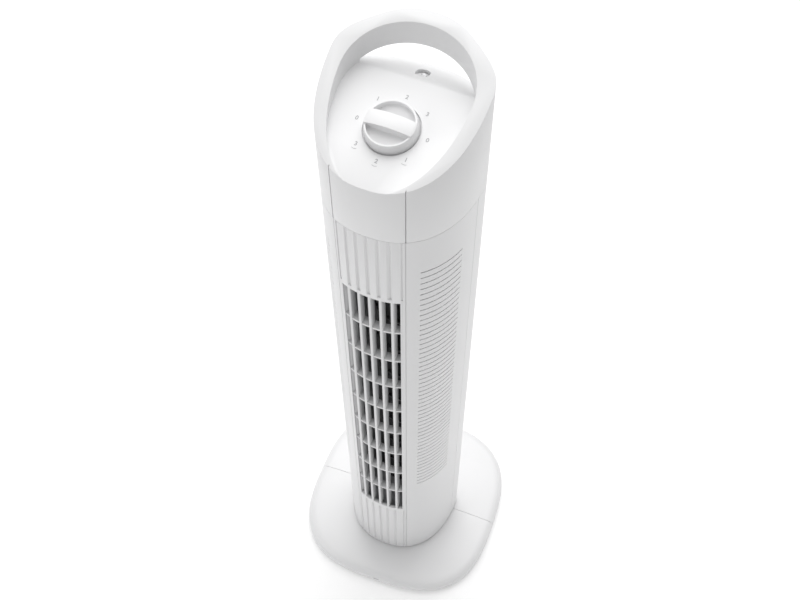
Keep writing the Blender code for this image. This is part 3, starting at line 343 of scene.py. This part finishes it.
def front_points(half_width, inset, count=14):
    """Right-hand points across the front, from near the middle line to half_width."""
    return [(half_width * k / count, front_y(half_width * k / count, inset))
            for k in range(1, count + 1)]


def mirrored(points):
    """A whole outline from its right-hand half."""
    return points + [(-x, y) for x, y in reversed(points)]


def cavity_outline():
    """The room inside the two housings."""
    inset, half = FASCIA_THICK + GAP + BACKING, FASCIA_HALF + 0.0025
    return mirrored(front_points(half, inset) + front_arc(half, WIDEST_Y, WALL)
                    + back_arc(WALL))


def top_plane(x, y):
    """Height of the slanted top of the rim."""
    return HEIGHT + TOP_SLOPE * (y - BACK_Y)


def panel_plane(x, y):
    """Height of the control panel's face."""
    return TOP_FRONT_Z + PANEL_SLOPE * (y - FRONT_Y)


def deck_plane(x, y):
    """Height of the deck behind the panel."""
    return RIDGE_Z + DECK_SLOPE * (y - RIDGE_Y)


def lowered(plane, drop):
    """A plane moved down."""
    return lambda x, y: plane(x, y) - drop


# ---------------------------------------------------------------- housings
def rounded(points, radius, steps=6):
    """An outline in Y and Z with the corner at its second point rounded."""
    before, corner, after = (Vector((*point, 0)) for point in points[:3])
    first = (before - corner).normalized()
    second = (after - corner).normalized()
    arc = []
    for index in range(steps + 1):
        share = index / steps
        start = corner + first * radius * (1 - share)
        end = corner + second * radius * share
        middle = start.lerp(end, share)
        arc.append((middle.x, middle.y))
    return [points[0]] + arc + list(points[2:])


def make_top_housing():
    """The top in one piece: brow, control panel, deck with its pocket, rim and handle."""
    outline = mirrored(front_points(FASCIA_HALF, 0.0) + front_arc(FASCIA_HALF, WIDEST_Y, 0.0)
                       + back_arc(0.0))
    shell = prism(outline, SEAM_Z + GAP / 2, 0.8)
    ceiling = [(-FAR, panel_plane(0, -FAR) - PANEL_THICK), (RIDGE_Y, RIDGE_Z - PANEL_THICK),
               (FAR, deck_plane(0, FAR) - PANEL_THICK), (FAR, 1.2), (-FAR, 1.2)]
    carve(shell, carve(prism(cavity_outline(), -0.1, TALL), across(ceiling)))
    inner = []
    for index in range(1, 64):
        angle = math.pi * (index / 64 - 0.5)
        depth = BOWL_BACK if angle > 0 else BOWL_FRONT
        inner.append((BOWL_HALF * math.cos(angle), depth * math.sin(angle)))
    bowl = prism(mirrored(inner), 0.6, TALL)
    beyond = [(-0.1, RIDGE_Y), (0.1, RIDGE_Y), (0.1, 0.1), (-0.1, 0.1)]
    carve(bowl, prism(beyond, 0.6, lowered(top_plane, HANDLE_HEIGHT)), "UNION")
    floor = [(-FAR, panel_plane(0, -FAR)), (RIDGE_Y, RIDGE_Z), (FAR, deck_plane(0, FAR)),
             (FAR, 1.2), (-FAR, 1.2)]
    carve(bowl, across(rounded(floor, 0.0040)), "INTERSECT")
    carve(shell, bowl)
    above = [(-FAR, -FAR), (FAR, -FAR), (FAR, FAR), (-FAR, FAR)]
    carve(shell, prism(above, top_plane, 1.0))
    soften(shell, 0.0012, 3, 30)
    grooves = [((side * FASCIA_HALF - 0.00045, -0.1, 0.6),
                (side * FASCIA_HALF + 0.00045, front_y(FASCIA_HALF) + 0.0014, 0.8))
               for side in (-1, 1)]
    carve(shell, boxes(grooves))
    recess = cylinders([((0, 0), -DIAL_RECESS_DEPTH, 0.05)], DIAL_RECESS_RADIUS, 96)
    recess.data.transform(DIAL)
    carve(shell, recess)
    hole = cylinders([((0, 0), -0.05, 0.05)], 0.0050)
    hole.data.transform(DIAL)
    carve(shell, hole)
    carve(shell, cylinders([((0, POCKET_Y), POCKET_FLOOR - 0.003, 0.7135)], 0.0075), "UNION")
    pocket = []
    for index in range(49):
        angle = 2 * math.pi * index / 49
        reach = 0.0056 + 0.0030 * max(-math.sin(angle), 0.0) ** 2
        pocket.append((reach * math.cos(angle), POCKET_Y + reach * math.sin(angle)))
    carve(shell, prism(pocket, lambda x, y: POCKET_FLOOR + max(POCKET_Y - y, 0) * 1.1, 0.7300))
    carve(shell, cylinders([((0, POCKET_Y), 0.6, 0.75)], PILOT_RADIUS))
    smooth(shell, 30)
    place(shell, "top_skin", WHITE, "column", ["top_housing"])


def louvre_cuts(spans, y_low, y_high):
    """Rows of fine slots; spans are the (x from, x to) cut in every row."""
    cuts = []
    for row in range(LOUVRE_ROWS):
        low = LOUVRE_LOW + LOUVRE_PITCH * row
        for left, right in spans:
            cuts.append(((left, y_low, low), (right, y_high, low + LOUVRE_SLOT)))
    return boxes(cuts)


def make_front_housing():
    """Front shell with its recess for the grille and fine side louvres."""
    half, y_end = FASCIA_HALF + 0.00015, SPLIT_Y - GAP / 2
    outline = mirrored(front_points(half, FASCIA_THICK + GAP) + front_arc(half, y_end, 0.0))
    shell = prism(outline, COLUMN_LOW, SEAM_Z - GAP / 2)
    carve(shell, prism(cavity_outline(), -0.1, TALL))
    carve(shell, boxes([((-0.0295, -0.10, 0.135), (0.0295, -0.05, 0.5637))]))
    carve(shell, louvre_cuts(((0.030, 0.080), (-0.080, -0.030)), *LOUVRE_SIDE_Y))
    bosses = [((x, z), front_y(abs(x) + 0.004, 0.001), y_end) for x, z in SCREWS]
    carve(shell, rods_along_y(bosses, 0.004), "UNION")
    smooth(shell)
    place(shell, "front_shell_skin", WHITE, "column", ["front_housing"])


def make_rear_housing():
    """Rear shell with its screw bosses and the rear louvres."""
    y_start = SPLIT_Y + GAP / 2
    side = front_arc(HALF_WIDTH * 0.9, y_start, 0.0, 1)[-1:]
    side += front_arc(side[0][0], WIDEST_Y, 0.0, 3)[1:]
    shell = prism(mirrored(side + back_arc(0.0)), COLUMN_LOW, SEAM_Z - GAP / 2)
    carve(shell, prism(cavity_outline(), -0.1, TALL))
    bosses = [((x, z), y_start, back_y(abs(x) + 0.0055)) for x, z in SCREWS]
    carve(shell, rods_along_y(bosses, 0.0050), "UNION")
    carve(shell, rods_along_y([((x, z), -0.05, 0.1) for x, z in SCREWS], PILOT_RADIUS))
    carve(shell, rods_along_y([((x, z), y_start + 0.012, 0.1) for x, z in SCREWS], 0.0036))
    spans = [(-0.0350, -0.0190), (-0.0165, -0.0010), (0.0010, 0.0165), (0.0190, 0.0350)]
    carve(shell, louvre_cuts(spans, 0.025, 0.080))
    smooth(shell)
    place(shell, "rear_shell_skin", WHITE, "column", ["rear_housing"])


def make_grille():
    """The long insert: ribbed above and below, with deep vanes before the wheel."""
    half = FASCIA_HALF - 0.00015
    outer = front_points(half, 0.0)
    inner = list(reversed(front_points(half, FASCIA_THICK)))
    outline = outer + inner + [(-x, y) for x, y in reversed(inner)]
    outline += [(-x, y) for x, y in reversed(outer)]
    body = prism(outline, COLUMN_LOW + GAP, SEAM_Z - GAP / 2)
    carve(body, boxes([((-OUTLET_HALF, -0.10, OUTLET_LOW), (OUTLET_HALF, -0.05, OUTLET_HIGH))]))
    for low, high in ((0.0240, 0.1330), (0.5640, 0.6400)):
        for index in range(-3, 4):
            x = FLUTE_PITCH * index
            wide, deep = (0.0013, 0.0011) if abs(index) == 3 else (0.0026, 0.0017)
            front = front_y(x)
            carve(body, prism([(x - wide, front - 0.0008), (x + wide, front - 0.0008),
                               (x + 0.0004, front + deep), (x - 0.0004, front + deep)],
                              low, high))
    soften(body, 0.0005, 3)
    place(body, "grille_insert", WHITE, "column", ["front_grille"])

    places = []
    for x in (VANE_PITCH * k for k in range(-2, 3)):
        places.append(((x - VANE_HALF, front_y(x, 0.0002), OUTLET_LOW - 0.001),
                       (x + VANE_HALF, front_y(x) + VANE_DEPTH, OUTLET_HIGH + 0.001)))
    vanes = boxes(places)
    soften(vanes, 0.0005, 3)
    place(vanes, "grille_vanes", WHITE, "column")
    edge = front_y(0.0285)
    cheek = prism([(-0.0288, edge + 0.0012), (-0.0272, edge + 0.0008),
                   (-0.0214, edge + 0.0105), (-0.0222, edge + 0.0125)],
                  OUTLET_LOW - 0.003, OUTLET_HIGH + 0.003)
    soften(cheek, 0.0003)
    place(cheek, "outlet_cheek", WHITE, "column")
    pitch = (OUTLET_HIGH - OUTLET_LOW) / OUTLET_ROWS
    for index in range(1, OUTLET_ROWS):
        z = OUTLET_LOW + pitch * index
        front = front_points(0.0272, 0.0010)
        back = [(x, y + BAR_DEPTH) for x, y in reversed(front)]
        shape = front + back + [(-x, y) for x, y in reversed(back)]
        shape += [(-x, y) for x, y in reversed(front)]
        bar = soften(prism(shape, z - BAR_HALF_HEIGHT, z + BAR_HALF_HEIGHT), 0.0004)
        place(bar, f"grille_bar_{index}", WHITE, "column")


def make_wheel():
    """Cross-flow wheel: curved blades between thin discs."""
    bm = bmesh.new()
    for blade in range(BLADES):
        turn = 2 * math.pi * blade / BLADES
        sides = []
        for offset in (-BLADE_HALF_THICK, BLADE_HALF_THICK):
            line = []
            for step in range(6):
                share = step / 5
                radius = 0.0228 + (WHEEL_RADIUS - 0.0232) * share
                angle = turn + 0.24 * (share - 1.0) ** 2 + offset / radius
                line.append((WHEEL_X + radius * math.cos(angle),
                             WHEEL_Y + radius * math.sin(angle)))
            sides.append(line)
        loop = sides[0] + list(reversed(sides[1]))
        bottom = [bm.verts.new((x, y, WHEEL_LOW)) for x, y in loop]
        top = [bm.verts.new((x, y, WHEEL_HIGH)) for x, y in loop]
        for k in range(len(loop)):
            after = (k + 1) % len(loop)
            bm.faces.new((bottom[k], bottom[after], top[after], top[k]))
        bm.faces.new(bottom)
        bm.faces.new(top)
    wheel = smooth(to_object(bm))
    place(wheel, "wheel_blades", DARK, "impeller", ["impeller_wheel"])
    last = WHEEL_DISCS - 1
    for index in range(WHEEL_DISCS):
        z = WHEEL_LOW + (WHEEL_HIGH - WHEEL_LOW - DISC_THICK) * index / last
        inner = 0.0065 if index in (0, last) else 0.0215
        disc = turned([(WHEEL_RADIUS, z + DISC_THICK), (WHEEL_RADIUS, z), (inner, z),
                       (inner, z + DISC_THICK)])
        place(smooth(disc), f"wheel_disc_{index}", DARK, "impeller",
              matrix=Matrix.Translation((WHEEL_X, WHEEL_Y, 0)))


# ---------------------------------------------------------------- panel, marks and knob
DIAL = (Matrix.Translation((0, DIAL_Y, panel_plane(0, DIAL_Y)))
        @ Matrix.Rotation(PANEL_TILT, 4, "X"))


def make_marks():
    """The printed marks around the dial: speeds alone, and speeds with the swing."""
    marks = ((180, "0"), (135, "1"), (90, "2"), (45, "3"), (0, "0"), (-45, "1"), (-90, "2"),
             (-135, "3"))
    for index, (angle, digit) in enumerate(marks):
        x = MARK_RADIUS * math.cos(math.radians(angle))
        y = MARK_RADIUS * math.sin(math.radians(angle))
        curve = bpy.data.curves.new(f"dial_number_{index}", "FONT")
        curve.body = digit
        curve.size = DIGIT_SIZE
        curve.align_x = "CENTER"
        curve.align_y = "CENTER"
        curve.extrude = 0.00003
        curve.offset = 0.00012
        text = bpy.data.objects.new(f"dial_number_{index}", curve)
        bpy.context.scene.collection.objects.link(text)
        bpy.context.view_layer.update()
        mesh = bpy.data.meshes.new_from_object(
            text.evaluated_get(bpy.context.evaluated_depsgraph_get()))
        bpy.data.objects.remove(text)
        number = bpy.data.objects.new("number", mesh)
        bpy.context.scene.collection.objects.link(number)
        place(number, f"dial_number_{index}", PRINT, "column",
              matrix=DIAL @ Matrix.Translation((x, y, 0.00004)))
        if -180 < angle < 0:
            bm = bmesh.new()
            bend = [(-0.0021 + 0.0042 * k / 10, -0.0034 - 0.0006 * math.sin(math.pi * k / 10))
                    for k in range(11)]
            loop = bend + [(x0, y0 - 0.00035) for x0, y0 in reversed(bend)]
            face = bm.faces.new([bm.verts.new((x0, y0, 0)) for x0, y0 in loop])
            bmesh.ops.solidify(bm, geom=[face], thickness=0.00004)
            place(to_object(bm), f"swing_mark_{index}", PRINT, "column",
                  matrix=DIAL @ Matrix.Translation((x, y, 0.00005)))


def make_knob():
    """The knob: a sloping skirt with an arched bar across it between two scooped sides."""
    low, skirt, bar_high, bar_half = -0.0015, 0.0085, 0.0120, 0.0062
    scoop_radius, scoop_floor, scoop_slope = 0.0185, 0.0020, 0.22
    knob = turned([(0, skirt), (0.0196, skirt), (0.0202, skirt - 0.0006), (0.0213, low),
                   (0.0092, low), (0.0092, 0.0009), (0.0033, 0.0009), (0.0033, 0.0081),
                   (0, 0.0081)], 96)
    edge = math.asin(bar_half / 0.0200)
    bar = []
    for side in (0.0, math.pi):
        for index in range(13):
            angle = side - edge + 2 * edge * index / 12
            bar.append((0.0199 * math.cos(angle), 0.0199 * math.sin(angle)))
    crown = [(0.021 * k / 12, skirt + 0.0003 + (bar_high - skirt - 0.0003) * (1 - (k / 12) ** 2))
             for k in range(-12, 13)]
    arch = across([(-0.021, 0.0)] + crown + [(0.021, 0.0)])
    arch.data.transform(Matrix.Rotation(-math.pi / 2, 4, "Z"))
    carve(knob, carve(prism(bar, skirt - 0.0002, 0.02), arch, "INTERSECT"), "UNION")
    for side in (1, -1):
        start = math.asin(bar_half / scoop_radius)
        scoop = []
        for index in range(33):
            angle = start + (math.pi - 2 * start) * index / 32
            scoop.append((scoop_radius * math.cos(angle),
                          side * scoop_radius * math.sin(angle)))
        foot = bar_half if side > 0 else -scoop_radius
        carve(knob, prism(scoop, lambda x, y: scoop_floor + scoop_slope * (y - foot), 0.05))
    soften(knob, 0.0009, 3)
    place(knob, "knob_skin", WHITE, "dial", ["speed_knob"], matrix=DIAL)


# ---------------------------------------------------------------- base
def base_outline(half, exponent, steps=144):
    """Points of a superellipse about the origin."""
    points = []
    for index in range(steps):
        angle = 2 * math.pi * (index + 0.5) / steps
        cosine, sine = math.cos(angle), math.sin(angle)
        points.append((math.copysign(half * abs(cosine) ** (2 / exponent), cosine),
                       math.copysign(half * abs(sine) ** (2 / exponent), sine)))
    return points


def make_base(name, node_name, side):
    """One half of the base: a domed shell with a rolled rim."""
    rim = ((0.1175, 0.0020), (0.1190, 0.0045), (0.1200, 0.0075), (0.1198, 0.0105),
           (0.1188, 0.0130), (0.1167, 0.0150), (0.1138, 0.0163))
    rings = [(half, BASE_EXPONENT, z) for half, z in rim]
    rings += [(0.1095, 2.80, 0.0171), (0.0960, 2.50, 0.0182), (0.0800, 2.25, 0.0187),
              (0.0640, 2.0, BASE_TOP), (HUB_HOLE, 2.0, BASE_TOP)]
    bm = bmesh.new()
    loops = [[bm.verts.new((x, y, z)) for x, y in base_outline(half, exponent)]
             for half, exponent, z in rings]
    for lower, upper in zip(loops, loops[1:]):
        for index in range(len(lower)):
            after = (index + 1) % len(lower)
            bm.faces.new((lower[index], lower[after], upper[after], upper[index]))
    half = to_object(bm)
    shell = half.modifiers.new("shell", "SOLIDIFY")
    shell.thickness = 0.0025
    shell.offset = -1.0
    apply_modifiers(half)
    posts = [((x, side * 0.074), 0.0035, 0.0162) for x in (-0.074, 0.074)]
    carve(half, cylinders(posts, 0.009), "UNION")
    bosses = [((x, side * 0.038), 0.0130, 0.0172) for x in (-0.038, 0.038)]
    carve(half, cylinders(bosses, 0.0040), "UNION")
    near, far = sorted((side * GAP / 2, side * FAR))
    carve(half, boxes([((-FAR, near, -0.1), (FAR, far, 0.1))]), "INTERSECT")
    if side < 0:
        carve(half, boxes([((0.0, -0.125, 0.0085), (0.0070, -0.1185, 0.0112))]))
    else:
        carve(half, rods_along_y([((0, 0.0074), 0.10, 0.13)], 0.0045))
    smooth(half, 40)
    place(half, name, WHITE, "base", [node_name], column=False)


make_front_housing()
make_rear_housing()
make_grille()
make_wheel()
make_top_housing()
make_marks()
make_knob()
make_base("base_front_skin", "base_front_half", -1)
make_base("base_rear_skin", "base_rear_half", 1)


# ---------------------------------------------------------------- floor, light and camera
bm = bmesh.new()
bmesh.ops.create_grid(bm, x_segments=1, y_segments=1, size=6.0)
ground = to_object(bm, "ground")
ground.data.materials.append(FLOOR)


def area_light(name, location, target, size, power):
    """A square soft light aimed at a point."""
    data = bpy.data.lights.new(name, "AREA")
    data.shape = "SQUARE"
    data.size = size
    data.energy = power
    light = bpy.data.objects.new(name, data)
    light.location = location
    light.rotation_mode = "QUATERNION"
    aim = Vector(target) - Vector(location)
    light.rotation_quaternion = aim.to_track_quat("-Z", "Y")
    bpy.context.scene.collection.objects.link(light)


area_light("overhead", (-0.25, 1.25, 2.75), (0, 0, 0.5), 2.8, 70.0)
area_light("left_key", (-2.2, -1.8, 1.8), (0, 0, 0.35), 1.8, 15.0)
area_light("right_fill", (2.4, -1.2, 1.4), (0, 0, 0.35), 2.0, 1.0)
world = bpy.data.worlds.new("studio")
world.use_nodes = True
world.node_tree.nodes["Background"].inputs["Color"].default_value = (1, 1, 1, 1)
world.node_tree.nodes["Background"].inputs["Strength"].default_value = 0.475
bpy.context.scene.world = world
bpy.context.scene.view_settings.view_transform = "Standard"

camera_data = bpy.data.cameras.new("camera")
camera_data.lens = 44.71
camera_data.sensor_width = 36.0
camera_data.shift_x = -0.0068
camera_data.shift_y = 0.0023
camera = bpy.data.objects.new("camera", camera_data)
camera.matrix_world = (Matrix.Translation((0.19066, -0.51503, 1.23606))
                       @ Matrix.Rotation(math.radians(20.352), 4, "Z")
                       @ Matrix.Rotation(math.radians(35.137), 4, "X")
                       @ Matrix.Rotation(math.radians(-0.178), 4, "Z"))
bpy.context.scene.collection.objects.link(camera)
bpy.context.scene.camera = camera
